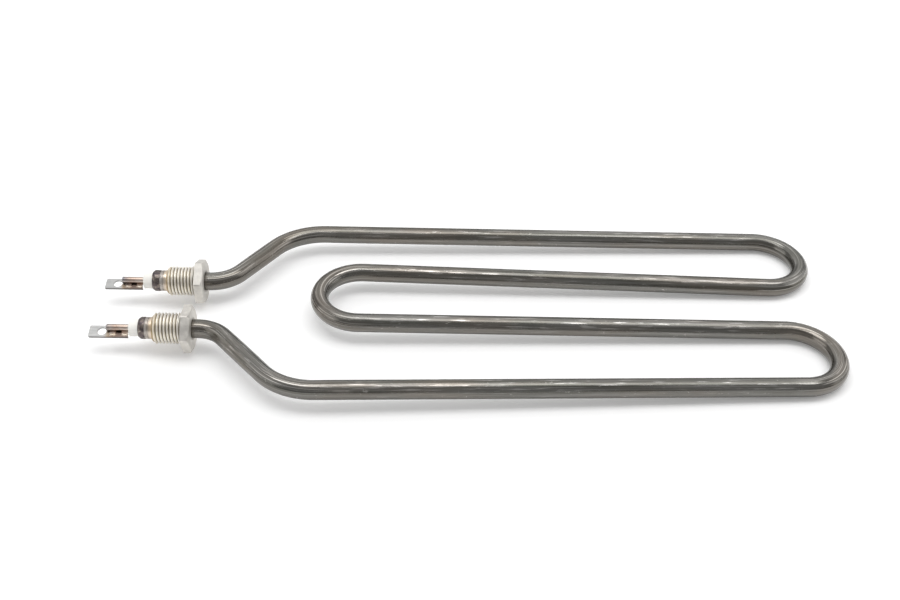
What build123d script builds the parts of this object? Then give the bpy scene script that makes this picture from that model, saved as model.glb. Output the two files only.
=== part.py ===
"""Tubular heating element: a sheathed heater bent flat into four legs, held by two threaded fittings.

Frame, in millimetres: the two fittings seal against the plane x = 0 and point to -X, the heated
legs run to +X, the whole bent tube lies in the plane z = 0, and y = 0 is midway between the fittings.
"Rear" is the +Y end of the tube and "front" is the -Y end.
"""

from build123d import *
from math import cos, sin, radians
import os

# Sheath tube
tube_d = 8.5
tube_wall = 0.7
bore_d = tube_d - 2 * tube_wall

# Bend table, read from the rear fitting to the front one. The last leg and the last knee straight
# are not given: they are what closes the path on the front fitting.
fitting_pitch = 35.0
stub_run = 6.0           # straight from the sealing plane to the first bend
end_radius = 16.0        # bends next to the fittings, on the centre line
knee_radius = 29.0       # bends between knee and leg
return_radius = 19.0     # the three return bends
rear_knee_angle = 56.0
front_knee_angle = 51.2
rear_knee_run = 25.0
first_leg = 214.5
second_leg = 193.5
third_leg = 194.0
return_angles = (181.9, 181.7, 178.1)
reach_rear = 20.3        # how far the tube end stands out of the sealing plane
reach_front = 19.6

# Threaded fitting, M14 x 1.5, turned from 19 mm hexagon bar
hex_across_flats = 19.0
hex_thick = 4.1
hex_turn_rear = 34.0     # angle of one corner, from +Y towards +Z
hex_turn_front = 52.0
thread_d = 14.0          # the shank is plain at the thread's major diameter
thread_pitch = 1.5
thread_end = 13.4        # end of the threaded length, from the sealing plane
relief_len = 1.2         # groove between the thread and the hexagon
relief_d = thread_d - 1.3 * thread_pitch
undercut_d = thread_d + 0.5      # the groove runs out into the hexagon's face this far
undercut = 0.3
nose_len = 3.3
nose_d = tube_d + 1.2
weld_d = nose_d + 0.2    # rounded weld that joins nose and tube end

# Heater inside the tube
pin_d = 3.0
coil_wire = 0.5
coil_d = pin_d + 2 * coil_wire
cold_length = 62.0       # pin length inside, from the tube end
coil_lap = 8.0           # turns of the coil that sit on the pin
bead_shank = 4.0
seal_len = 3.0
slip = 0.05              # clearance between a bead and what it slips over or into

# Ceramic bead, outside the tube
bead_flange_d = bore_d + 0.7
bead_flange = 4.2

# Blade terminal, 6.3 x 0.8, and the pin lying on it
blade_len = 17.9
blade_w = 6.3
blade_t = 0.8
blade_gap = 0.3          # between bead and blade
blade_roll_rear = 9.0    # both blades lean a little towards -Y
blade_roll_front = 14.0
blade_shift = 1.2        # blade centre line to pin centre line
blade_slant = 2.6        # the inner end is cut longer on the -Y side
blade_hole_d = 4.0
blade_hole_in = 5.7      # from the outer end
pin_tip_in = 7.8         # pin tip, from the blade's outer end
pin_flat = 0.15          # depth of the flat pressed on the pin's underside
foot_len = 2.9           # weld feet that the pin is squashed into
foot_w = 5.0
foot_t = 0.32
foot_stations = (10.6, 16.0)

half_pitch = fitting_pitch / 2


def follow(x, y, heading, rows):
    """Walk a bend table of (straight, bend angle, bend radius); returns its segments and its end."""
    segments = []
    for straight, angle, radius in rows:
        if straight > 0:
            segments.append(("line", x, y, heading, straight, 0.0))
            x += straight * cos(radians(heading))
            y += straight * sin(radians(heading))
        if angle:
            turn = 1 if angle > 0 else -1
            cx = x - turn * radius * sin(radians(heading))
            cy = y + turn * radius * cos(radians(heading))
            segments.append(("arc", x, y, heading, angle, radius))
            heading += angle
            x = cx + turn * radius * sin(radians(heading))
            y = cy - turn * radius * cos(radians(heading))
    return segments, (x, y, heading)


def bend_table():
    """All rows from the rear tube end to the front one, with the last two straights solved."""
    first, second, third = return_angles
    closing_heading = rear_knee_angle - rear_knee_angle - first + second - third
    last_knee = -180 - (closing_heading - front_knee_angle)

    def rows(last_leg, last_run):
        return [
            (reach_rear + stub_run, rear_knee_angle, end_radius),
            (rear_knee_run, -rear_knee_angle, knee_radius),
            (first_leg, -first, return_radius),
            (second_leg, second, return_radius),
            (third_leg, -third, return_radius),
            (last_leg, -front_knee_angle, knee_radius),
            (last_run, last_knee, end_radius),
            (stub_run + reach_front, 0, 0),
        ]

    _, (x, y, _) = follow(-reach_rear, half_pitch, 0, rows(0, 0))
    dx, dy = -reach_front - x, -half_pitch - y
    a, b = radians(closing_heading), radians(closing_heading - front_knee_angle)
    det = cos(a) * sin(b) - cos(b) * sin(a)
    last_leg = (dx * sin(b) - dy * cos(b)) / det
    last_run = (cos(a) * dy - sin(a) * dx) / det
    return rows(last_leg, last_run)


def seg_length(segment):
    kind, _, _, _, amount, radius = segment
    return amount if kind == "line" else abs(radians(amount)) * radius


def part_of(segments, start, stop):
    """The stretch of a path between two distances from its start."""
    out, done = [], 0.0
    for kind, x, y, heading, amount, radius in segments:
        length = seg_length((kind, x, y, heading, amount, radius))
        lo, hi = max(start - done, 0), min(stop - done, length)
        done += length
        if hi - lo < 1e-6:
            continue
        scale = amount / length
        rows = [(lo, 0, 0)] if kind == "line" else [(0, lo * scale, radius)]
        if lo > 0:
            _, (x, y, heading) = follow(x, y, heading, rows)
        out.append((kind, x, y, heading, (hi - lo) * scale, radius))
    return out


def pipe(segments, outer_r, inner_r=0.0):
    """A round bar or tube along a path, one solid."""
    pieces = []
    for kind, x, y, heading, amount, radius in segments:
        ahead = (cos(radians(heading)), sin(radians(heading)), 0)
        section = Circle(outer_r) - Circle(inner_r) if inner_r else Circle(outer_r)
        section = Plane(origin=(x, y, 0), x_dir=(0, 0, 1), z_dir=ahead) * section
        if kind == "line":
            pieces.append(extrude(section, amount=amount))
        else:
            turn = 1 if amount > 0 else -1
            centre = (x - turn * radius * ahead[1], y + turn * radius * ahead[0], 0)
            pieces.append(revolve(section, Axis(centre, (0, 0, turn)), abs(amount)))
    body = pieces[0]
    for piece in pieces[1:]:
        body = body.fuse(piece)
    return body


def turned(points, y):
    """A lathe part about the line through (0, y, 0) along X, from (x, radius) points."""
    profile = make_face(Polyline(*[(px, pr, 0) for px, pr in points], close=True))
    return Pos(0, y, 0) * revolve(profile, Axis.X, 360)


def threaded_fitting(y, corner_angle):
    """Hexagon flange with threaded shank and a plain nose, bored for the tube."""
    corner_r = hex_across_flats / 2 / cos(radians(30))
    face_r = hex_across_flats / 2 * 0.955
    back_r = corner_r - 0.35
    slope = cos(radians(30)) / sin(radians(30))
    hexagon = Plane.YZ * Rot(0, 0, corner_angle) * RegularPolygon(corner_r, 6)
    flange = extrude(hexagon, amount=hex_thick)
    blank = turned([
        (0, 0), (0, back_r), ((corner_r - back_r) / slope, corner_r),
        (hex_thick - (corner_r - face_r) / slope, corner_r), (hex_thick, face_r), (hex_thick, 0),
    ], 0)
    flange = Pos(0, y, 0) * (flange & blank)
    tr, rr, nr, br = thread_d / 2, relief_d / 2, nose_d / 2, tube_d / 2
    runout = tr - rr
    lead = tr - nr - 0.9
    shank = turned([
        (undercut, br), (undercut, rr), (-relief_len + runout / 2, rr), (-relief_len - runout / 2, tr),
        (-thread_end + lead, tr), (-thread_end, tr - lead), (-thread_end, nr),
        (-thread_end - nose_len, nr), (-thread_end - nose_len, br),
    ], y)
    bore = Pos(0, y, 0) * extrude(Plane.YZ * Circle(br), amount=hex_thick)
    lip = turned([(hex_thick + 1, 0), (hex_thick + 1, br + 1.3), (hex_thick - 0.3, br), (hex_thick - 0.3, 0)], y)
    recess = Pos(0, y, 0) * extrude(Plane.YZ * Circle(undercut_d / 2), amount=undercut)
    return shank.fuse(flange - bore - lip - recess)


def nose_weld(y, reach):
    """Rounded weld ring over the tube end, against the fitting's nose."""
    root, end = -thread_end - nose_len, -reach
    br, wr = tube_d / 2, weld_d / 2
    crown = min(0.8, (root - end) / 3)
    with BuildPart() as ring:
        with BuildSketch(Plane.XY):
            with BuildLine():
                Polyline((end, br), (root, br), (root, wr - 0.3))
                Line((root, wr - 0.3), (root - 0.3, wr))
                Line((root - 0.3, wr), (end + crown, wr))
                ThreePointArc(
                    (end + crown, wr), (end + 0.25 * crown, wr - 0.3 * crown), (end, wr - crown * 0.85)
                )
                Line((end, wr - crown * 0.85), (end, br))
            make_face()
        revolve(axis=Axis.X)
    return Pos(0, y, 0) * ring.part


def ceramic_bead(y, reach):
    """Insulating bead: flange outside the tube end, shank inside it."""
    hr = pin_d / 2 + slip
    sr, fr = bore_d / 2 - slip, bead_flange_d / 2
    x0, x1 = -reach, -reach - bead_flange
    return turned([
        (x0 + bead_shank, hr), (x0 + bead_shank, sr), (x0, sr), (x0, fr - 0.2), (x0 - 0.2, fr),
        (x1 + 0.4, fr), (x1, fr - 0.4), (x1, hr),
    ], y)


def blade_outer_end(reach):
    return -reach - bead_flange - blade_gap - blade_len


def on_terminal(y, roll, shape):
    """Places a shape drawn about the pin's centre line, blade face down, on one terminal."""
    return Pos(0, y, 0) * Rot(roll, 0, 0) * shape


def blade_terminal(y, reach, roll):
    """Flat blade with a screw hole; its top face carries the pin."""
    out, top = blade_outer_end(reach), -pin_d / 2 + pin_flat
    far, near, inner = blade_w / 2 - blade_shift, -blade_w / 2 - blade_shift, out + blade_len
    nick = 0.5
    outline = make_face(Polyline(
        (out, near + nick), (out + nick, near), (inner, near), (inner - blade_slant, far),
        (out + nick, far), (out, far - nick), close=True,
    ))
    plate = extrude(outline, amount=-blade_t)
    hole = Pos(out + blade_hole_in, -blade_shift, 0) * Cylinder(blade_hole_d / 2, 4 * blade_t)
    return on_terminal(y, roll, Pos(0, 0, top) * (plate - hole))


def terminal_pin(y, reach, roll, path):
    """Pin from its tip on the blade through bead and seal to the coil, with its flat and weld feet."""
    out, top = blade_outer_end(reach), -pin_d / 2 + pin_flat
    inner = out + blade_len
    tip, pr = out + pin_tip_in, pin_d / 2
    outer = turned([(tip, 0), (tip, pr - 0.25), (tip + 0.25, pr), (-reach, pr), (-reach, 0)], 0)
    outer -= Pos((tip + inner) / 2, 0, top - 1) * Box(inner - tip + 0.4, 2 * pin_d, 2)
    for station in foot_stations:
        foot = extrude(Pos(out + station, -blade_shift, top) * Ellipse(foot_len / 2, foot_w / 2), amount=foot_t)
        outer = outer.fuse(foot)
    return on_terminal(y, roll, outer).fuse(pipe(path, pr))


path, _ = follow(-reach_rear, half_pitch, 0, bend_table())
total = sum(seg_length(s) for s in path)
fill_in = bead_shank + seal_len
coil_in = cold_length - coil_lap
bore_r, pin_r, coil_r = bore_d / 2, pin_d / 2, coil_d / 2

sheath_tube = pipe(path, tube_d / 2, bore_r)
heating_coil = pipe(part_of(path, coil_in, total - coil_in), coil_r, pin_r)
magnesia_core = pipe(part_of(path, cold_length, total - cold_length), pin_r)
magnesia_sleeve = pipe(part_of(path, fill_in, coil_in), bore_r, pin_r)
magnesia_sleeve = magnesia_sleeve.fuse(pipe(part_of(path, coil_in, total - coil_in), bore_r, coil_r))
magnesia_sleeve = magnesia_sleeve.fuse(pipe(part_of(path, total - coil_in, total - fill_in), bore_r, pin_r))

shapes = {
    "sheath_tube": sheath_tube,
    "heating_coil": heating_coil,
    "magnesia_core": magnesia_core,
    "magnesia_sleeve": magnesia_sleeve,
}
ends = {
    "rear": (half_pitch, reach_rear, hex_turn_rear, blade_roll_rear, 0.0, 1),
    "front": (-half_pitch, reach_front, hex_turn_front, blade_roll_front, total, -1),
}
for side, (y, reach, corner, roll, mouth, way) in ends.items():
    def stretch(a, b):
        return part_of(path, *sorted((mouth + way * a, mouth + way * b)))

    shapes["threaded_fitting_" + side] = threaded_fitting(y, corner)
    shapes["nose_weld_" + side] = nose_weld(y, reach)
    shapes["ceramic_bead_" + side] = ceramic_bead(y, reach)
    shapes["end_seal_" + side] = pipe(stretch(bead_shank, fill_in), bore_r, pin_r)
    shapes["terminal_pin_" + side] = terminal_pin(y, reach, roll, stretch(0, cold_length))
    shapes["blade_terminal_" + side] = blade_terminal(y, reach, roll)

os.makedirs("parts", exist_ok=True)
for name, shape in shapes.items():
    export_step(shape, "parts/" + name + ".step")
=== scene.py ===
"""Tubular heating element: a bent steel tube with two threaded fittings and blade terminals.

Frame in metres: X along the legs, Z up. The fittings seat on the plane x = 0 and point to -X.
"""

from math import atan2, ceil, cos, degrees, hypot, pi, radians, sin, sqrt, tan

import bpy
from mathutils import Matrix, Vector, noise


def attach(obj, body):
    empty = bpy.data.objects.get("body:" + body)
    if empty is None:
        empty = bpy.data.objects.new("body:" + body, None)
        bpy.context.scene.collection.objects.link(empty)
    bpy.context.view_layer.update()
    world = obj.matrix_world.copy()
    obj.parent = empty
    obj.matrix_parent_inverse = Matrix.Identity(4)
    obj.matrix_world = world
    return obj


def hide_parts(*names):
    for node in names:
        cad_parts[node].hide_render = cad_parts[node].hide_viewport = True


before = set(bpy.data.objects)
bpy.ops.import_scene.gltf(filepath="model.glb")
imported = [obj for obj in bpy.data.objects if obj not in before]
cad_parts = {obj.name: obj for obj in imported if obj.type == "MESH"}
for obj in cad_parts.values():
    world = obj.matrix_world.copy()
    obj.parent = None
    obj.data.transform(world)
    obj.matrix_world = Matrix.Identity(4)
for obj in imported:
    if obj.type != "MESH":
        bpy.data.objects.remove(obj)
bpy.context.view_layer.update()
MM = 0.001

# ---------------------------------------------------------------- sizes, in mm
# Tube. Bend table: heading is 0 along +X at the start; (straight, turn in degrees, radius)
TUBE_R, TUBE_WALL = 4.25, 0.7
PATH_START = (-20.30, 17.50)
PATH = [
    (26.30, 56.0, 16.0), (25.00, -56.0, 29.0), (214.50, -181.9, 19.0), (193.50, 181.7, 19.0),
    (194.00, -178.1, 19.0), (210.80, -51.2, 29.0), (30.46, 49.5, 16.0), (25.60, 0.0, 0.0),
]
TUBE_COLS = 60            # points round the tube
STRAIGHT_STEP, ARC_STEP = 2.2, 0.75        # largest gaps between its rings
FLATTENING = 0.022        # share of its width that the tube loses in a bend

# Hexagon, from the sealing face at x = 0 to its inner face, where the tube leaves it
HEX_AF, HEX_THICK = 19.0, 4.1
HEX_CORNER = HEX_AF / 2 / cos(radians(30))
CORNER_CUT, CORNER_SOFT = 0.16, 0.07
SEAL_CHAMFER_R, INNER_CHAMFER_R, CHAMFER_ANGLE = HEX_CORNER - 0.35, HEX_AF / 2 * 0.955, 60.0
HEX_STATIONS = (0.0, 0.05, 0.1, 0.16, 0.24, 0.4, 0.9, 1.8, 2.6, 2.9, 3.1, 3.25, 3.4, 3.5, 3.6,
                3.7, 3.8, 3.9, 4.0, 4.06, 4.1)  # closest together along the chamfers
RELIEF_LEN, RELIEF_R, UNDERCUT, UNDERCUT_R = 1.2, 6.025, 0.3, 7.25

# Threaded shank and nose
THREAD_R, THREAD_PITCH, THREAD_DEPTH = 7.0, 1.5, 0.92
CREST_SHARE, FLANK_SHARE = 0.13, 0.74      # of half a pitch; the rest is the root
RUNOUT, RUNOUT_LAP = 0.7, 0.3              # the thread fades out at the relief groove
RINGS_PER_TURN = 15
THREAD_END, NOSE_LEN, NOSE_R, WELD_R = 13.4, 3.3, 4.85, 4.95
SHANK_STEP = 0.9          # flat ring between the nose and the shank's chamfer
NOSE_GROOVE, GROOVE_DEPTH = (1.53, 1.62, 1.86, 1.95), 0.22  # places past the thread's end
BORE_SLIP = 0.02
WELD_ROUND, WELD_RIPPLE, WELD_CHATTER = 1.3, 0.05, 0.02

# Terminal: pin, bead and blade
PIN_R, BEAD_R, BEAD_LEN, BEAD_SHANK, BEAD_ROUND = 1.5, 3.9, 4.2, 4.0, 0.35
SLIP = 0.05               # the bead's clearance on the pin and in the tube
BLADE_W, BLADE_T, BLADE_LEN, BLADE_GAP = 6.3, 0.8, 17.9, 0.3
BLADE_TOP, BLADE_SHIFT, BLADE_SLANT, BLADE_NICK = -1.35, -1.2, 2.6, 0.5
BLADE_EDGE, HOLE_PLACE, HOLE_R = 0.09, 5.7, 2.0
WELD_STATIONS = (10.6, 16.0)  # from the blade's outer end
NUGGET_LONG, NUGGET_WIDE, NUGGET_HIGH = 1.60, 1.05, 0.42
NUGGET_SIDE, NUGGET_SUNK, NUGGET_WOBBLE = -2.85, 0.03, 0.22

# reach: how far the tube stands out of the sealing plane; turn: a corner of the hexagon, and
# roll: the blade about the pin, both in degrees; seed: a place in the noise of the welds
ENDS = {
    "rear": {"y": 17.5, "reach": 20.3, "turn": 34.0, "roll": 9.0, "seed": 11.0},
    "front": {"y": -17.5, "reach": 19.6, "turn": 52.0, "roll": 14.0, "seed": 47.0},
}


def blade_inner(end):
    """Where the blade starts, just outside the bead."""
    return -ENDS[end]["reach"] - BEAD_LEN - BLADE_GAP


def blade_outer(end):
    return blade_inner(end) - BLADE_LEN


# ---------------------------------------------------------------- mesh helpers
def mesh_piece(name, verts, faces, material, replaces, smooth_angle, attributes=()):
    """A mesh from points in mm, riding on the one body of the part."""
    mesh = bpy.data.meshes.new(name)
    mesh.from_pydata([(x * MM, y * MM, z * MM) for x, y, z in verts], [], faces)
    mesh.validate()
    for label, kind, values in attributes:
        attribute = mesh.attributes.new(label, kind, "POINT")
        if kind == "FLOAT":
            attribute.data.foreach_set("value", values)
        else:
            attribute.data.foreach_set("vector", [c for v in values for c in v])
    mesh.materials.append(material)
    mesh.shade_smooth()
    mesh.set_sharp_from_angle(angle=radians(smooth_angle))
    piece = bpy.data.objects.new(name, mesh)
    bpy.context.scene.collection.objects.link(piece)
    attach(piece, "root")
    if replaces:
        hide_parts(*replaces)
    return piece


def circle(count):
    return [2 * pi * k / count for k in range(count)]


def ring_faces(rows, cols, closed_rows=False):
    """Quads between rings of cols points; closed_rows joins the last ring to the first."""
    faces = []
    for i in range(rows if closed_rows else rows - 1):
        a, b = i * cols, ((i + 1) % rows) * cols
        for j in range(cols):
            k = (j + 1) % cols
            faces.append((a + j, a + k, b + k, b + j))
    return faces


def radius_at(r, a):
    """A row's radius is a number or a function of the angle."""
    return r(a) if callable(r) else r


def turned(rows, angles, y):
    """Rings about the line through (0, y, 0) along X, one for each row (x, radius)."""
    verts = []
    for x, r in rows:
        for a in angles:
            rr = radius_at(r, a)
            verts.append((x, y + rr * cos(a), rr * sin(a)))
    return verts, ring_faces(len(rows), len(angles), closed_rows=True)


def rounded(profile, radius, steps=4):
    """A closed (x, r) profile with every corner rounded."""
    out = []
    n = len(profile)
    for i in range(n):
        p0, p1, p2 = Vector(profile[i - 1]), Vector(profile[i]), Vector(profile[(i + 1) % n])
        a, b = p0 - p1, p2 - p1
        cut = min(radius, a.length * 0.45, b.length * 0.45)
        start, end = p1 + a.normalized() * cut, p1 + b.normalized() * cut
        for k in range(steps + 1):
            t = k / steps
            q = start * (1 - t) ** 2 + p1 * 2 * t * (1 - t) + end * t * t
            out.append((q.x, q.y))
    return out


# ---------------------------------------------------------------- node helpers
class Nodes:
    """Short names for building one material."""

    def __init__(self, name):
        self.material = bpy.data.materials.new(name)
        self.material.use_nodes = True
        self.tree = self.material.node_tree
        self.tree.nodes.clear()
        self.shader = self.add("ShaderNodeBsdfPrincipled")
        self.out = self.add("ShaderNodeOutputMaterial")
        self.link(self.shader.outputs[0], self.out.inputs["Surface"])

    def add(self, kind, **settings):
        node = self.tree.nodes.new(kind)
        for key, value in settings.items():
            setattr(node, key, value)
        return node

    def link(self, a, b):
        self.tree.links.new(a, b)

    def set(self, socket, value):
        if isinstance(value, bpy.types.NodeSocket):
            self.link(value, socket)
        else:
            socket.default_value = value

    def place(self):
        """Object coordinates, in metres."""
        return self.add("ShaderNodeTexCoord").outputs["Object"]

    def stretch(self, vector, scale):
        node = self.add("ShaderNodeMapping")
        self.link(vector, node.inputs["Vector"])
        node.inputs["Scale"].default_value = scale
        return node.outputs[0]

    def grain(self, vector, scale, detail, roughness, distortion=0.0):
        node = self.add("ShaderNodeTexNoise")
        self.link(vector, node.inputs["Vector"])
        node.inputs["Scale"].default_value = scale
        node.inputs["Detail"].default_value = detail
        node.inputs["Roughness"].default_value = roughness
        node.inputs["Distortion"].default_value = distortion
        return node.outputs["Fac"]

    def ramp(self, factor, *stops):
        """A colour ramp; a stop is (position, colour)."""
        node = self.add("ShaderNodeValToRGB")
        ramp = node.color_ramp
        while len(ramp.elements) < len(stops):
            ramp.elements.new(0.5)
        for element, (position, colour) in zip(ramp.elements, stops):
            element.position = position
            element.color = (*colour, 1)
        self.link(factor, node.inputs[0])
        return node.outputs[0]

    def math(self, operation, a, b):
        node = self.add("ShaderNodeMath", operation=operation)
        self.set(node.inputs[0], a)
        self.set(node.inputs[1], b)
        return node.outputs[0]

    def fit(self, value, low, high, to_low=0.0, to_high=1.0, smooth=False):
        """Maps low..high to to_low..to_high and holds it there outside that range."""
        kind = "SMOOTHSTEP" if smooth else "LINEAR"
        node = self.add("ShaderNodeMapRange", interpolation_type=kind)
        self.link(value, node.inputs["Value"])
        limits = {"From Min": low, "From Max": high, "To Min": to_low, "To Max": to_high}
        for name, v in limits.items():
            node.inputs[name].default_value = v
        return node.outputs["Result"]

    def mix(self, factor, a, b, blend="MIX"):
        """A mix of two colours; sockets 6 and 7 and output 2 are the node's colour ones."""
        node = self.add("ShaderNodeMix", data_type="RGBA", blend_type=blend)
        self.set(node.inputs["Factor"], factor)
        for socket, v in ((node.inputs[6], a), (node.inputs[7], b)):
            self.set(socket, (*v, 1) if isinstance(v, tuple) else v)
        return node.outputs[2]

    def axis(self, vector, which):
        node = self.add("ShaderNodeSeparateXYZ")
        self.link(vector, node.inputs[0])
        return node.outputs[which]

    def bump(self, height, strength, distance, below=None):
        node = self.add("ShaderNodeBump")
        node.inputs["Strength"].default_value = strength
        node.inputs["Distance"].default_value = distance
        self.link(height, node.inputs["Height"])
        if below is not None:
            self.link(below, node.inputs["Normal"])
        return node.outputs[0]

    def finish(self, colour, roughness, normal, metallic=0.0):
        self.set(self.shader.inputs["Base Color"], colour)
        self.set(self.shader.inputs["Roughness"], roughness)
        self.shader.inputs["Metallic"].default_value = metallic
        self.link(normal, self.shader.inputs["Normal"])
        return self.material


# ---------------------------------------------------------------- materials; their lengths are in m
def sheath_steel():
    """Dark annealed tube: painted highlight dashes on top, a painted floor reflection below, drawn
    lines with painted glints, ridges in the bends.
    """
    n = Nodes("sheath_steel")
    # along the tube, across it and up from its centre line
    at = n.add("ShaderNodeAttribute", attribute_name="pipe").outputs["Vector"]
    bend = n.add("ShaderNodeAttribute", attribute_name="bend").outputs["Fac"]
    wide = n.grain(n.stretch(at, (13, 420, 420)), 1.0, 3.0, 0.55)
    dash = n.grain(n.stretch(at, (78, 1000, 1000)), 1.0, 3.0, 0.6)
    line = n.grain(n.stretch(at, (11, 2100, 2100)), 1.0, 2.0, 0.55)
    hue = n.grain(n.stretch(at, (22, 120, 120)), 1.0, 3.0, 0.6)
    body = n.mix(n.fit(hue, 0.36, 0.64), (0.124, 0.123, 0.108), (0.150, 0.141, 0.124))
    body = n.mix(n.fit(wide, 0.38, 0.66), body, (0.208, 0.202, 0.190))
    # upper side of the tube: the painted highlight dashes and the painted glints on the drawn lines
    # keep to it
    upper = n.fit(n.axis(at, 2), 0.0010, 0.0032, 0.12, 1.0)
    bright = n.math("MULTIPLY", n.fit(dash, 0.55, 0.64), n.fit(wide, 0.40, 0.54))
    lit = n.math("MULTIPLY", upper, n.fit(bend, 0.0, 0.6, 1.0, 0.35))
    bright = n.math("MULTIPLY", bright, lit)
    # painted reflection: the underside is made lighter, standing in for the white floor seen in it
    under = n.fit(n.axis(at, 2), 0.0016, -0.0006, 0.0, 0.55)
    body = n.mix(under, body, (0.200, 0.194, 0.180))
    # painted highlight: dashes on the upper side take this pale colour, standing in for glints of the
    # lamp above
    colour = n.mix(bright, body, (0.520, 0.508, 0.490))
    # drawn lines, paler in the bends and on the upper side: partly real die lines, partly painted
    # glints of the lamp
    drawn = n.math("MULTIPLY", n.fit(line, 0.56, 0.66), n.fit(bend, 0.0, 0.6, 0.35, 1.0))
    drawn = n.math("MULTIPLY", drawn, n.fit(upper, 0.12, 1.0, 0.35, 1.0))
    colour = n.mix(drawn, colour, (0.440, 0.430, 0.412))
    dull = n.math("MULTIPLY", n.fit(line, 0.46, 0.38), 0.45)
    colour = n.mix(dull, colour, (0.070, 0.066, 0.056))
    colour = n.mix(n.fit(hue, 0.42, 0.72), colour, (1.05, 0.985, 0.935), "MULTIPLY")
    scuff = n.fit(n.grain(n.stretch(at, (430, 900, 900)), 1.0, 2.0, 0.7, 1.2), 0.69, 0.75)
    colour = n.mix(scuff, colour, (0.520, 0.500, 0.470))
    pit = n.grain(at, 2600.0, 3.0, 0.6)
    rough = n.math("SUBTRACT", n.fit(wide, 0.3, 0.7, 0.22, 0.33), n.math("MULTIPLY", bright, 0.11))
    rough = n.math("SUBTRACT", rough, n.math("MULTIPLY", bend, 0.10))
    ridge = n.grain(n.stretch(at, (9, 900, 900)), 1.0, 2.0, 0.5)
    ridge = n.math("MULTIPLY", ridge, n.fit(bend, 0.0, 0.7, 0.16, 1.0))
    normal = n.bump(ridge, 0.60, 0.00040)
    normal = n.bump(line, 0.25, 0.00006, normal)
    normal = n.bump(pit, 0.20, 0.00004, normal)
    return n.finish(colour, rough, normal, 1.0)


def fitting_steel(end):
    """Machined steel: turning marks, painted highlight on thread crests, painted shade dark brown in
    the roots, a straw to brown tint at the nose.
    """
    n = Nodes("fitting_steel_" + end)
    at = n.place()
    x = n.axis(at, 0)
    height = n.add("ShaderNodeAttribute", attribute_name="height").outputs["Fac"]
    cloud = n.grain(at, 420.0, 4.0, 0.6)
    flange = n.fit(x, -0.0006, 0.0002)  # 1 on the hexagon, 0 on the shank
    steel = n.mix(n.fit(cloud, 0.35, 0.7), (0.560, 0.540, 0.506), (0.700, 0.680, 0.642))
    lighter = n.mix(n.fit(cloud, 0.35, 0.7), (0.618, 0.594, 0.556), (0.772, 0.748, 0.704))
    steel = n.mix(flange, steel, lighter)
    # painted highlight: the thread's crests are near white
    crest = n.mix(n.fit(x, -0.0015, -0.0005), (0.960, 0.938, 0.895), steel)
    flank = n.mix(n.fit(cloud, 0.3, 0.7), (0.800, 0.745, 0.640), (0.950, 0.915, 0.845))
    colour = n.mix(n.fit(height, 0.55, 1.0), flank, crest)
    # painted shade: dark brown where the shank is cut low, in the thread's roots and the relief
    # groove
    colour = n.mix(n.fit(height, 0.32, 0.10, 0.0, 0.84), colour, (0.150, 0.116, 0.078))
    tint = n.math("MULTIPLY", n.fit(x, -0.0095, -0.0150, 0.0, 1.0, True),
                  n.fit(cloud, 0.2, 0.7, 0.6, 1.0))
    straw = n.ramp(n.fit(x, -0.0105, -0.0168), (0.0, (0.72, 0.66, 0.52)), (0.40, (0.70, 0.52, 0.28)),
                   (0.56, (0.52, 0.35, 0.18)), (0.74, (0.27, 0.220, 0.175)),
                   (1.0, (0.20, 0.165, 0.150)))
    colour = n.mix(n.math("MULTIPLY", tint, 0.85), colour, straw)
    marks = n.grain(n.stretch(at, (5200, 60, 60)), 1.0, 2.0, 0.6)
    nick = n.grain(at, 1500.0, 3.0, 0.6)
    rough = n.math("ADD", n.fit(cloud, 0.3, 0.7, 0.32, 0.44), n.fit(nick, 0.4, 0.7, 0.0, 0.06))
    rough = n.math("ADD", rough, n.math("MULTIPLY", flange, 0.16))
    normal = n.bump(marks, 0.22, 0.00004)
    normal = n.bump(nick, 0.16, 0.00004, normal)
    return n.finish(colour, rough, normal, 1.0)


def weld_steel():
    """Rippled weld, dark with purple and brown heat colours."""
    n = Nodes("weld_steel")
    at = n.place()
    cloud = n.grain(at, 700.0, 4.0, 0.6, 0.8)
    fine = n.grain(at, 2400.0, 3.0, 0.6)
    colour = n.ramp(cloud, (0.30, (0.075, 0.064, 0.072)), (0.48, (0.130, 0.108, 0.108)),
                    (0.60, (0.220, 0.188, 0.165)), (0.74, (0.420, 0.375, 0.330)))
    return n.finish(colour, n.fit(fine, 0.3, 0.7, 0.26, 0.44), n.bump(fine, 0.35, 0.00008), 1.0)


def ceramic():
    """Unglazed white ceramic with a faint mottle."""
    n = Nodes("ceramic")
    at = n.place()
    cloud = n.grain(at, 500.0, 4.0, 0.6)
    fine = n.grain(at, 3800.0, 3.0, 0.6)
    colour = n.mix(n.fit(cloud, 0.35, 0.7), (0.960, 0.935, 0.880), (0.985, 0.970, 0.930))
    return n.finish(colour, n.fit(fine, 0.3, 0.7, 0.46, 0.64), n.bump(fine, 0.20, 0.00004))


def pin_steel():
    """Drawn steel pin with a copper-brown heat tint on its welded length."""
    n = Nodes("pin_steel")
    at = n.place()
    x = n.axis(at, 0)
    cloud = n.grain(n.stretch(at, (260, 900, 900)), 1.0, 4.0, 0.6, 0.5)
    drawn = n.grain(n.stretch(at, (120, 5200, 5200)), 1.0, 2.0, 0.6)
    tint = n.ramp(n.fit(x, -0.0235, -0.0350), (0.0, (0.58, 0.52, 0.47)), (0.22, (0.56, 0.45, 0.38)),
                  (0.60, (0.45, 0.34, 0.28)), (0.84, (0.28, 0.235, 0.220)),
                  (1.0, (0.16, 0.17, 0.205)))
    colour = n.mix(n.fit(cloud, 0.46, 0.76), tint, (0.600, 0.545, 0.500))
    return n.finish(colour, n.fit(cloud, 0.3, 0.7, 0.24, 0.40), n.bump(drawn, 0.25, 0.00004), 1.0)


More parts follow.
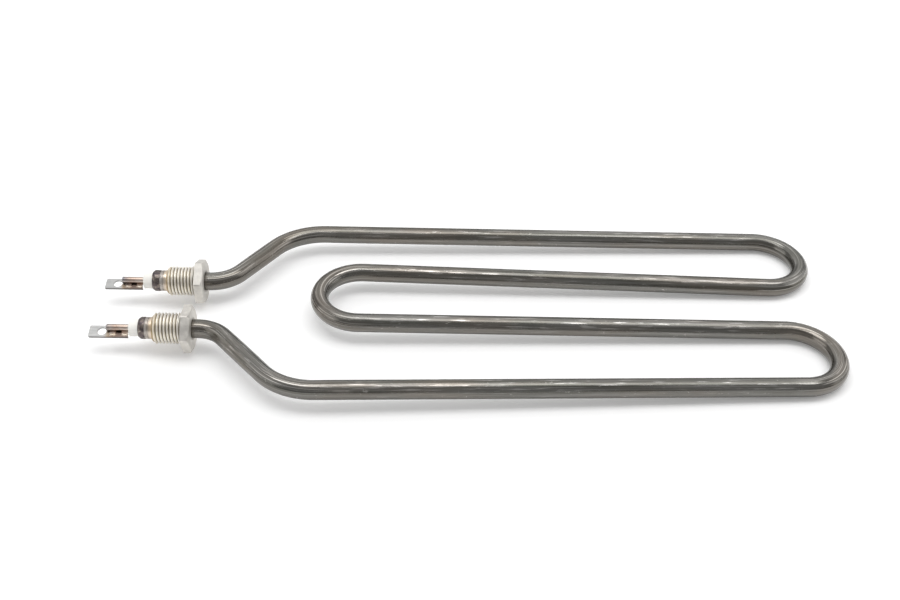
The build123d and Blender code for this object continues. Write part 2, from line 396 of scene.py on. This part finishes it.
def blade_steel(end):
    """Satin rolled strip: brown heat tint round the welds, a near black painted shadow under the pin,
    painted shade on the rim.
    """
    n = Nodes("blade_steel_" + end)
    at = n.place()
    x = n.axis(at, 0)
    roll, outer = radians(ENDS[end]["roll"]), blade_outer(end) * MM
    off = n.math("SUBTRACT", n.axis(at, 1), ENDS[end]["y"] * MM)
    side = n.math("ADD", n.math("MULTIPLY", off, cos(roll)),
                  n.math("MULTIPLY", n.axis(at, 2), sin(roll)))
    cloud = n.grain(at, 460.0, 4.0, 0.6, 0.4)
    rolled = n.grain(n.stretch(at, (90, 3200, 3200)), 1.0, 3.0, 0.6)
    plain = n.mix(n.fit(rolled, 0.35, 0.68), (0.395, 0.395, 0.392), (0.540, 0.538, 0.530))
    spread = n.math("ADD", x, n.math("MULTIPLY", n.math("SUBTRACT", cloud, 0.5), 0.005))
    tint = n.ramp(n.fit(spread, outer + 0.0060, outer + 0.0179),
                  (0.0, (0.44, 0.42, 0.38)), (0.16, (0.40, 0.31, 0.21)), (0.42, (0.24, 0.165, 0.125)),
                  (0.80, (0.20, 0.150, 0.130)), (1.0, (0.27, 0.22, 0.19)))
    colour = n.mix(n.fit(spread, outer + 0.0066, outer + 0.0092, 0.0, 0.9, True), plain, tint)
    # painted shadow: a near black strip on the blade along the pin, where the crevice under the pin
    # lies in shade
    edge = n.math("ADD", side, n.math("MULTIPLY", n.math("SUBTRACT", cloud, 0.5), 0.0012))
    dark = n.math("MULTIPLY", n.fit(edge, -0.00215, -0.00175, 0.0, 1.0, True),
                  n.fit(x, outer + 0.0080, outer + 0.0092))
    colour = n.mix(dark, colour, (0.035, 0.025, 0.020))
    # painted shade: the blade darkens along its near edge
    rim = (BLADE_SHIFT - BLADE_W / 2) * MM
    colour = n.mix(n.fit(side, rim + 0.00025, rim + 0.00010, 0.0, 0.8), colour, (0.130, 0.120, 0.112))
    return n.finish(colour, n.fit(cloud, 0.3, 0.7, 0.47, 0.60), n.bump(rolled, 0.20, 0.00004), 1.0)


def gold_weld():
    """Small resistance-weld nuggets with a bright golden tint."""
    n = Nodes("gold_weld")
    at = n.place()
    cloud = n.grain(at, 1400.0, 3.0, 0.6, 0.6)
    colour = n.ramp(cloud, (0.34, (0.300, 0.225, 0.160)), (0.50, (0.560, 0.480, 0.390)),
                    (0.68, (0.740, 0.690, 0.610)))
    return n.finish(colour, n.fit(cloud, 0.3, 0.7, 0.34, 0.50), n.bump(cloud, 0.40, 0.00008), 1.0)


def coil_alloy():
    """Dull resistance wire."""
    n = Nodes("coil_alloy")
    at = n.place()
    cloud = n.grain(at, 900.0, 4.0, 0.6)
    colour = n.mix(n.fit(cloud, 0.35, 0.7), (0.220, 0.212, 0.205), (0.340, 0.330, 0.320))
    return n.finish(colour, n.fit(cloud, 0.3, 0.7, 0.36, 0.50), n.bump(cloud, 0.2, 0.00004), 1.0)


def magnesia():
    """Compacted white powder."""
    n = Nodes("magnesia")
    at = n.place()
    cloud = n.grain(at, 1600.0, 4.0, 0.65)
    colour = n.mix(n.fit(cloud, 0.35, 0.7), (0.740, 0.720, 0.680), (0.860, 0.845, 0.810))
    return n.finish(colour, n.fit(cloud, 0.3, 0.7, 0.70, 0.88), n.bump(cloud, 0.3, 0.00005))


def seal_resin():
    """Cured potting resin."""
    n = Nodes("seal_resin")
    at = n.place()
    cloud = n.grain(at, 1100.0, 4.0, 0.6)
    colour = n.mix(n.fit(cloud, 0.35, 0.7), (0.470, 0.420, 0.340), (0.600, 0.550, 0.460))
    return n.finish(colour, n.fit(cloud, 0.3, 0.7, 0.34, 0.50), n.bump(cloud, 0.2, 0.00004))


# ---------------------------------------------------------------- tube
def path_stations():
    """(x, y, heading, length so far, how much it bends there) along the tube's centre line."""
    x, y = PATH_START
    heading, run = 0.0, 0.0
    out = []

    def put(bend):
        out.append((x, y, heading, run, bend))

    put(0.0)
    for straight, turn, radius in PATH:
        steps = max(1, ceil(straight / STRAIGHT_STEP))
        for _ in range(steps):
            x += straight / steps * cos(heading)
            y += straight / steps * sin(heading)
            run += straight / steps
            put(0.0)
        if not turn:
            continue
        side = 1 if turn > 0 else -1
        arc = abs(radians(turn)) * radius
        steps = ceil(arc / ARC_STEP)
        for _ in range(steps):
            step = radians(turn) / steps
            chord = 2 * radius * sin(abs(step) / 2)
            x += chord * cos(heading + step / 2)
            y += chord * sin(heading + step / 2)
            heading += step
            run += arc / steps
            put(float(side))
    return out


def smooth_bend(stations, reach=7.0):
    """The bend amount averaged over reach to either side, so that it starts and ends softly."""
    out = []
    for s in stations:
        near = [t[4] for t in stations if abs(t[3] - s[3]) < reach]
        out.append(sum(near) / len(near))
    return out


def sheath():
    """The tube swept along its path; pipe holds each point's place on the straight tube."""
    stations = path_stations()
    bends = smooth_bend(stations)
    verts, pipe, bent = [], [], []

    def ring(index, radius):
        x, y, heading, run, _ = stations[index]
        bend = abs(bends[index])
        for a in circle(TUBE_COLS):
            # a bend makes the tube a little narrower and higher
            across = radius * cos(a) * (1 - FLATTENING * bend)
            up = radius * sin(a) * (1 + 0.4 * FLATTENING * bend)
            verts.append((x - sin(heading) * across, y + cos(heading) * across, up))
            pipe.append((run * MM, radius * cos(a) * MM, radius * sin(a) * MM))
            bent.append(bend)

    last = len(stations) - 1
    for i in range(last + 1):
        ring(i, TUBE_R)
    for i in range(last, -1, -1):
        ring(i, TUBE_R - TUBE_WALL)
    faces = ring_faces(2 * (last + 1), TUBE_COLS, closed_rows=True)
    return mesh_piece("sheath", verts, faces, sheath_steel(), ["sheath_tube"], 50,
                      [("pipe", "FLOAT_VECTOR", pipe), ("bend", "FLOAT", bent)])


# ---------------------------------------------------------------- threaded fitting
def corner_angles(turn):
    """Angles round the hexagon, closest together at its six corners."""
    offsets = [0, 0.5, 1.0, 1.6, 2.4, 3.6, 5.5, 8.5, 12.5, 17.0, 21.5, 26.0]
    sector = offsets + [30.0] + [60 - o for o in reversed(offsets[1:])]
    return [radians(turn + 60 * k + o) for k in range(6) for o in sector]


def hexagon_radius(a, turn):
    """Distance to the hexagon's side at angle a, with a small radius at each corner."""
    off = (degrees(a) - turn) % 60 - 30
    side = HEX_AF / 2 / cos(radians(off))
    corner = HEX_CORNER - CORNER_CUT
    if side < corner - 1:
        return side
    soft = max(0, 1 - abs(side - corner) / CORNER_SOFT) ** 2
    return min(side, corner) - CORNER_SOFT * 0.25 * soft


def thread_cut(x, a):
    """How deep the thread is cut at this place, in mm: a 60 degree V with flat crest and root."""
    phase = (x / THREAD_PITCH - a / (2 * pi)) % 1.0
    v = abs(phase - 0.5) * 2
    depth = min(1.0, max(0.0, (v - CREST_SHARE) / FLANK_SHARE))
    start = max(0.0, min(1.0, (-x - RELIEF_LEN + RUNOUT_LAP) / RUNOUT))
    return THREAD_DEPTH * depth * start


def hexagon_rows(turn):
    """The undercut sealing face and the hexagon's side, chamfered at both ends."""
    rise = tan(radians(CHAMFER_ANGLE))

    def side(x):
        cone = min(INNER_CHAMFER_R + (HEX_THICK - x) * rise, SEAL_CHAMFER_R + x * rise)
        return (x, lambda a: min(hexagon_radius(a, turn), cone))

    face = [(UNDERCUT, RELIEF_R + 0.05), (UNDERCUT, UNDERCUT_R - 0.02),
            (UNDERCUT - 0.02, UNDERCUT_R), (0.02, UNDERCUT_R), (0.0, UNDERCUT_R + 0.03), (0.0, 8.4)]
    return face + [side(x) for x in HEX_STATIONS]


def bore_rows():
    """The inner face with its countersink, the bore, and the nose with its groove."""
    tip, bore, groove_r = -THREAD_END - NOSE_LEN, TUBE_R + BORE_SLIP, NOSE_R - GROOVE_DEPTH
    near, near_foot, far_foot, far = NOSE_GROOVE
    return [
        (HEX_THICK, 8.2), (HEX_THICK, 6.6), (HEX_THICK, TUBE_R + 1.30),
        (HEX_THICK - 0.10, TUBE_R + 0.9), (HEX_THICK - 1.2, bore),
        (tip + 0.2, bore), (tip, TUBE_R + 0.2), (tip, NOSE_R - 0.18),
        (tip + 0.05, NOSE_R - 0.05), (tip + 0.18, NOSE_R),
        (-THREAD_END - far, NOSE_R), (-THREAD_END - far_foot, groove_r),
        (-THREAD_END - near_foot, groove_r), (-THREAD_END - near, NOSE_R),
        (-THREAD_END - 0.15, NOSE_R), (-THREAD_END, NOSE_R + 0.10),
    ]


def thread_rows():
    """The shank's chamfer and thread, from its end to the hexagon, and the relief groove."""
    lead = THREAD_R - NOSE_R - SHANK_STEP
    rows = [(-THREAD_END, THREAD_R - lead)]
    x = -THREAD_END
    while x < -RELIEF_LEN - 0.02:
        x += THREAD_PITCH / RINGS_PER_TURN
        limit = min(THREAD_R, THREAD_R - lead + (x + THREAD_END))
        rows.append((x, lambda a, x=x, limit=limit: min(limit, THREAD_R - thread_cut(x, a))))
    for x in (-0.95, -0.7, -0.4, 0.0, 0.24):
        rows.append((x, RELIEF_R + (0.35 * max(0.0, -0.7 - x))))
    return rows


def thread_height(x, r):
    """0 at the thread's root and 1 at its crest, and 1 off the shank."""
    if not (-THREAD_END - 0.01 <= x <= 0.0 and r <= THREAD_R + 0.01):
        return 1.0
    return max(0.0, min(1.0, (r - (THREAD_R - THREAD_DEPTH)) / (THREAD_DEPTH * 0.8)))


def threaded_fitting(end):
    """Hexagon, shank and nose in one closed turning; height tells the thread's valleys apart."""
    y, turn = ENDS[end]["y"], ENDS[end]["turn"]
    angles = corner_angles(turn)
    rows = hexagon_rows(turn) + bore_rows() + thread_rows()
    verts, faces = turned(rows, angles, y)
    high = [thread_height(x, radius_at(r, a)) for x, r in rows for a in angles]
    return mesh_piece("fitting_" + end, verts, faces, fitting_steel(end),
                      ["threaded_fitting_" + end], 28, [("height", "FLOAT", high)])


# ---------------------------------------------------------------- small pieces of an end
def nose_weld(end):
    """The weld ring between nose and tube end: rippled, with a rounded rim."""
    y, reach, seed = ENDS[end]["y"], ENDS[end]["reach"], ENDS[end]["seed"]
    start = -THREAD_END - NOSE_LEN
    steps = 22
    rows = [(start, TUBE_R)]
    for k in range(steps + 1):
        t = k / steps
        x = start - t * (reach + start)
        left = reach + x
        drop = 0.0
        if left <= WELD_ROUND:
            drop = WELD_ROUND - sqrt(max(0.0, WELD_ROUND ** 2 - (WELD_ROUND - left) ** 2))
        drop += 0.10 * max(0.0, 1 - t * 12)  # a small step where the weld meets the nose
        radius = WELD_R - min(drop, WELD_R - TUBE_R - 0.05)

        def ripple(a, x=x, radius=radius):
            place = Vector((x * 0.9 + seed, 2.0 * cos(a), 2.0 * sin(a)))
            uneven = radius + WELD_RIPPLE * noise.noise(place * 1.3)
            return max(TUBE_R + BORE_SLIP, uneven + WELD_CHATTER * sin(a * 21 + x * 2.6))
        rows.append((x, ripple))
    rows.append((-reach, TUBE_R))
    verts, faces = turned(rows, circle(96), y)
    return mesh_piece("weld_ring_" + end, verts, faces, materials["weld_steel"],
                      ["nose_weld_" + end], 60)


def ceramic_bead(end):
    """A plain bead on the tube's end, with a thinner shank inside the tube."""
    mouth = -ENDS[end]["reach"]
    shank_r = TUBE_R - TUBE_WALL - SLIP
    hole_r = PIN_R + SLIP
    profile = rounded([(mouth + BEAD_SHANK, hole_r), (mouth + BEAD_SHANK, shank_r),
                       (mouth, shank_r), (mouth, BEAD_R),
                       (mouth - BEAD_LEN, BEAD_R), (mouth - BEAD_LEN, hole_r)], BEAD_ROUND)
    verts, faces = turned(profile, circle(72), ENDS[end]["y"])
    return mesh_piece("bead_" + end, verts, faces, materials["ceramic"],
                      ["ceramic_bead_" + end], 40)


def on_blade(end, x, ly, lz):
    """A point in the blade's own frame, rolled about the pin's axis."""
    a = radians(ENDS[end]["roll"])
    return (x, ENDS[end]["y"] + ly * cos(a) - lz * sin(a), ly * sin(a) + lz * cos(a))


def blade(end):
    """A flat blade with a punched hole: rings of points from the hole out to the edge."""
    inner_x, outer_x = blade_inner(end), blade_outer(end)
    near, far = BLADE_SHIFT - BLADE_W / 2, BLADE_SHIFT + BLADE_W / 2
    hole = (outer_x + HOLE_PLACE, BLADE_SHIFT)
    corners = [(outer_x, near + BLADE_NICK), (outer_x + BLADE_NICK, near), (inner_x, near),
               (inner_x - BLADE_SLANT, far), (outer_x + BLADE_NICK, far), (outer_x, far - BLADE_NICK)]
    top, bottom = BLADE_TOP, BLADE_TOP - BLADE_T

    def edge(angle, inset):
        """Where a ray from the hole's centre meets the outline, moved in by inset."""
        best = float("inf")
        for (x0, y0), (x1, y1) in zip(corners, corners[1:] + corners[:1]):
            nx, ny = y1 - y0, -(x1 - x0)
            size = hypot(nx, ny)
            nx, ny = nx / size, ny / size
            gap = (x0 - hole[0]) * nx + (y0 - hole[1]) * ny - inset
            along = cos(angle) * nx + sin(angle) * ny
            if along > 1e-6:
                best = min(best, gap / along)
        return best

    # even angles, and one at each corner of the outline
    turns = sorted({round(2 * pi * k / 96, 6) for k in range(96)} | {
        round(atan2(cy - hole[1], cx - hole[0]) % (2 * pi), 6) for cx, cy in corners})
    # down through the hole, out under the blade, up over its edge and back
    levels = [("hole", 0.06, top), ("hole", 0.0, top - 0.07),
              ("hole", 0.0, bottom + 0.10), ("hole", 0.10, bottom),
              ("edge", 0.5, bottom), ("edge", BLADE_EDGE, bottom), ("edge", 0.0, bottom + BLADE_EDGE),
              ("edge", 0.0, top - BLADE_EDGE), ("edge", BLADE_EDGE, top), ("edge", 0.5, top)]
    verts = []
    for kind, inset, z in levels:
        for a in turns:
            r = HOLE_R + inset if kind == "hole" else edge(a, inset)
            verts.append(on_blade(end, hole[0] + r * cos(a), hole[1] + r * sin(a), z))
    faces = ring_faces(len(levels), len(turns), closed_rows=True)
    return mesh_piece("blade_" + end, verts, faces, blade_steel(end),
                      ["blade_terminal_" + end], 30)


def weld_nuggets(end):
    """The two welds that hold the blade to the pin: low, uneven domes on the near side of the pin."""
    seed = ENDS[end]["seed"]
    rows, cols = 9, 28
    verts, faces = [], []
    for station in WELD_STATIONS:
        base, cx = len(verts), blade_outer(end) + station
        for i in range(rows):
            t = i / (rows - 1) * pi / 2
            z = BLADE_TOP - NUGGET_SUNK + NUGGET_HIGH * cos(t)
            for a in circle(cols):
                place = Vector((cos(a) * 1.4 + seed, sin(a) * 1.4, cx))
                out = (1 + NUGGET_WOBBLE * noise.noise(place)) * sin(t + 0.02)
                verts.append(on_blade(end, cx + NUGGET_LONG * out * cos(a),
                                      NUGGET_SIDE + NUGGET_WIDE * out * sin(a), z))
        # wound the other way round, as these rings run outwards and down
        faces += [tuple(base + v for v in (a, d, c, b)) for a, b, c, d in ring_faces(rows, cols)]
        faces.append(tuple(base + j for j in range(cols)))
        faces.append(tuple(base + (rows - 1) * cols + j for j in reversed(range(cols))))
    return mesh_piece("weld_nuggets_" + end, verts, faces, materials["gold_weld"],
                      None, 60)


# ---------------------------------------------------------------- build
materials = {"weld_steel": weld_steel(), "ceramic": ceramic(), "pin_steel": pin_steel(),
             "gold_weld": gold_weld(), "coil_alloy": coil_alloy(),
             "magnesia": magnesia(), "seal_resin": seal_resin()}

sheath()
for end in ENDS:
    threaded_fitting(end)
    nose_weld(end)
    ceramic_bead(end)
    blade(end)
    weld_nuggets(end)

# CAD nodes that are shown as they are, with a material of their own
KEPT = {"heating_coil": "coil_alloy", "magnesia_core": "magnesia", "magnesia_sleeve": "magnesia",
        "end_seal_rear": "seal_resin", "end_seal_front": "seal_resin",
        "terminal_pin_rear": "pin_steel", "terminal_pin_front": "pin_steel"}
for node, name in KEPT.items():
    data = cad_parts[node].data
    data.materials.clear()
    data.materials.append(materials[name])

# ---------------------------------------------------------------- floor and light
TILT = radians(1.336)     # of the plane under the right-hand bends and the hexagons
REST_X = 289.4            # where the bends touch it, in mm
FLOOR_HALF = 12000.0      # half its side, in mm
MIDDLE = (0.13, 0.0, 0.0)  # of the part, in m
WORLD_GREY = 0.42


def floor_height(x):
    return -TUBE_R - (REST_X - x) * tan(TILT)


def white_floor():
    """White paper that keeps the shadows and fades, far from the part, into the grey world."""
    n = Nodes("white_floor")
    n.tree.nodes.remove(n.shader)
    paper = n.add("ShaderNodeBsdfDiffuse")
    paper.inputs["Color"].default_value = (0.93, 0.93, 0.93, 1)
    lift = n.add("ShaderNodeEmission")
    path = n.add("ShaderNodeLightPath")
    seen = n.math("MAXIMUM", path.outputs["Is Camera Ray"], path.outputs["Is Glossy Ray"])
    seen = n.math("MAXIMUM", seen, path.outputs["Is Transmission Ray"])
    away = n.add("ShaderNodeVectorMath", operation="DISTANCE")
    n.link(n.place(), away.inputs[0])
    away.inputs[1].default_value = MIDDLE
    # the lift is weak near the part, full from 1.1 to 1.3 m away and nearly gone at 5 m
    level = n.fit(away.outputs["Value"], 0.35, 1.1, 0.15, 1.0, True)
    level = n.math("SUBTRACT", level, n.fit(away.outputs["Value"], 1.3, 5.0, 0.0, 0.97, True))
    n.link(n.math("MULTIPLY", seen, level), lift.inputs["Strength"])
    both = n.add("ShaderNodeAddShader")
    n.link(paper.outputs[0], both.inputs[0])
    n.link(lift.outputs[0], both.inputs[1])
    n.link(both.outputs[0], n.out.inputs["Surface"])
    return n.material


def add_floor():
    corners = [(a * FLOOR_HALF, b * FLOOR_HALF) for a, b in ((-1, -1), (1, -1), (1, 1), (-1, 1))]
    verts = [(x * MM, y * MM, floor_height(x) * MM) for x, y in corners]
    mesh = bpy.data.meshes.new("floor")
    mesh.from_pydata(verts, [], [(0, 1, 2, 3)])
    mesh.materials.append(white_floor())
    plane = bpy.data.objects.new("floor", mesh)
    bpy.context.scene.collection.objects.link(plane)


def add_light(name, place, target, size_x, size_y, power):
    """A soft rectangular panel turned towards the target."""
    data = bpy.data.lights.new(name, "AREA")
    data.shape, data.size, data.size_y, data.energy = "RECTANGLE", size_x, size_y, power
    lamp = bpy.data.objects.new(name, data)
    lamp.location = place
    lamp.rotation_euler = (Vector(target) - Vector(place)).to_track_quat("-Z", "Y").to_euler()
    bpy.context.scene.collection.objects.link(lamp)


def add_world(level):
    """Even grey light from all round."""
    world = bpy.data.worlds.new("studio")
    world.use_nodes = True
    world.node_tree.nodes["Background"].inputs["Color"].default_value = (level, level, level, 1)
    bpy.context.scene.world = world


add_floor()
add_light("key_above", (0.13, 0.05, 0.95), (0.13, 0.03, 0.0), 1.3, 0.46, 5.4)
add_light("panel_behind", (0.13, 0.80, 0.80), MIDDLE, 2.0, 0.95, 4.2)
add_light("panel_left", (-0.80, -0.15, 0.42), (0.0, 0.0, 0.0), 0.9, 0.7, 1.6)
add_light("panel_right", (1.05, 0.10, 0.42), (0.25, 0.0, 0.0), 0.9, 0.7, 1.6)
add_world(WORLD_GREY)

# ---------------------------------------------------------------- camera, fitted to the photo
AZIMUTH, ELEVATION, ROLL = 2.1201, 37.9724, 2.2635  # degrees
TARGET, DISTANCE = (0.118676, 0.0063053, 0.0), 0.5057026
LENS, SENSOR = 43.469, 36.0                         # mm


def add_camera():
    az, el, roll = radians(AZIMUTH), radians(ELEVATION), radians(ROLL)
    ahead = Vector((sin(az) * cos(el), cos(az) * cos(el), -sin(el)))
    right = Vector((cos(az), -sin(az), 0.0))
    up = right.cross(ahead)
    across = cos(roll) * right + sin(roll) * up
    upward = -sin(roll) * right + cos(roll) * up
    data = bpy.data.cameras.new("camera")
    data.lens, data.sensor_width, data.sensor_fit = LENS, SENSOR, "HORIZONTAL"
    data.clip_start, data.clip_end = 0.01, 20.0
    camera = bpy.data.objects.new("camera", data)
    place = Vector(TARGET) - ahead * DISTANCE
    camera.matrix_world = Matrix((
        (across.x, upward.x, -ahead.x, place.x), (across.y, upward.y, -ahead.y, place.y),
        (across.z, upward.z, -ahead.z, place.z), (0, 0, 0, 1)))
    bpy.context.scene.collection.objects.link(camera)
    bpy.context.scene.camera = camera


add_camera()
bpy.context.scene.view_settings.view_transform = "Standard"
